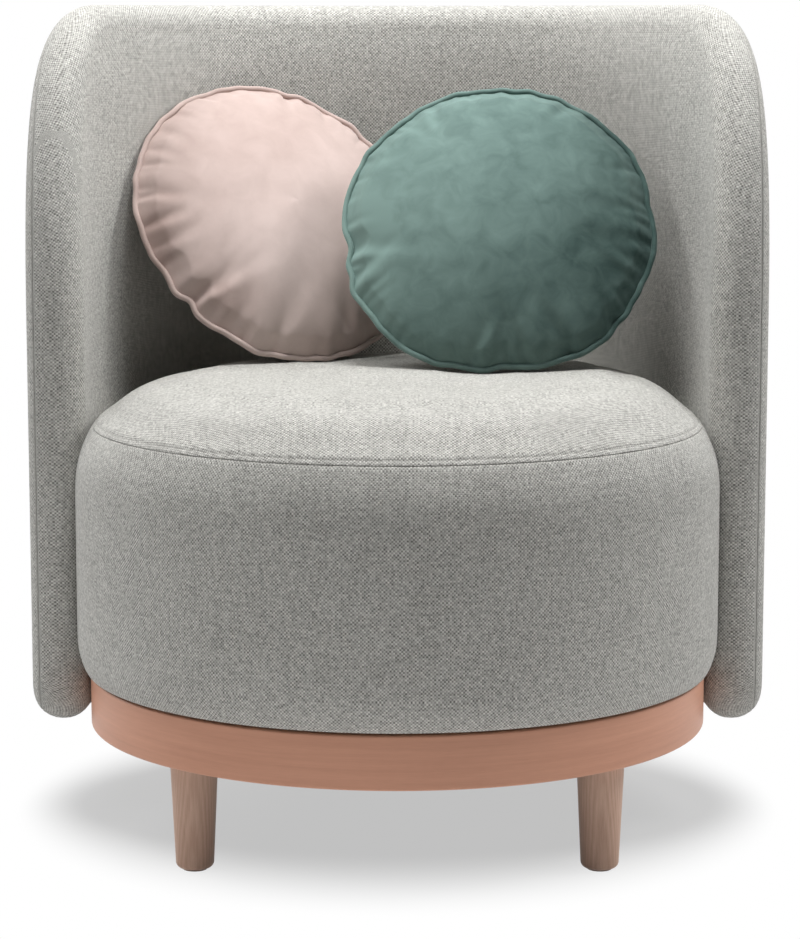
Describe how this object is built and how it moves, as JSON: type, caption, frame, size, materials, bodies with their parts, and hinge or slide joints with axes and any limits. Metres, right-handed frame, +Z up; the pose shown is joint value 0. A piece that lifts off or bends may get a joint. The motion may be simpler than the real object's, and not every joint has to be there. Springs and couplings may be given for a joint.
{
  "type": "slipper chair",
  "caption": "Round upholstered slipper chair: a drum seat wrapped by a curved back shell, on a wooden plinth with turned legs, with loose round piped cushions.",
  "frame": {"origin": "on the floor, under the middle of the chair's plan box", "axes": "+Z up, the chair faces -Y, +X to the right as seen from the front"},
  "size_m": [0.75, 0.7024, 0.832],
  "materials": {
    "grey_upholstery": "woven melange wool, matt",
    "blush_velvet": "velvet",
    "green_velvet": "velvet",
    "plinth_wood": "stained, satin",
    "leg_wood": "stained open-grained ash, satin",
    "frame_wood": "bare plywood and timber",
    "zinc_steel": "zinc plated",
    "glide_plastic": "matt",
    "dust_cloth": "non-woven cloth",
    "webbing": "elastic woven webbing",
    "foam": "upholstery foam",
    "cushion_fibre": "polyester fibre"
  },
  "bodies": {
    "chair": {"leg_front_left": "leg_wood", "leg_front_right": "leg_wood", "leg_rear_left": "leg_wood", "leg_rear_right": "leg_wood", "plinth_band": "plinth_wood", "plinth_floor_board": "frame_wood", "plinth_leg_blocks": "frame_wood", "plinth_top_ring": "frame_wood", "seat_base_board": "frame_wood", "seat_posts": "frame_wood", "seat_drum_wall": "frame_wood", "seat_top_ring": "frame_wood", "back_ply_shell": "frame_wood", "leg_hanger_bolts": "zinc_steel", "leg_tee_nuts": "zinc_steel", "plinth_to_seat_screws": "zinc_steel", "back_bolts": "zinc_steel", "back_washers": "zinc_steel", "back_spacer_sleeves": "zinc_steel", "back_tee_nuts": "zinc_steel", "leg_glides": "glide_plastic", "underside_dust_cover": "dust_cloth", "webbing_front_to_back": "webbing", "webbing_side_to_side": "webbing", "seat_foam_side": "foam", "seat_foam_top": "foam", "back_foam_inner": "foam", "back_foam_outer": "foam", "seat_cover_side": "grey_upholstery", "seat_cover_top": "grey_upholstery", "back_cover_inner": "grey_upholstery", "back_cover_outer": "grey_upholstery"},
    "blush_cushion": {"blush_cushion_filling": "cushion_fibre", "blush_cushion_front_panel": "blush_velvet", "blush_cushion_back_panel": "blush_velvet", "blush_cushion_piping": "blush_velvet"},
    "green_cushion": {"green_cushion_filling": "cushion_fibre", "green_cushion_front_panel": "green_velvet", "green_cushion_back_panel": "green_velvet", "green_cushion_piping": "green_velvet"}
  },
  "joints": [
    {"name": "blush_cushion_lift", "type": "slide", "parent": "chair", "child": "blush_cushion", "axis": [0, 0, 1], "range_m": [0, 0.3]},
    {"name": "green_cushion_lift", "type": "slide", "parent": "chair", "child": "green_cushion", "axis": [0, 0, 1], "range_m": [0, 0.3]}
  ]
}
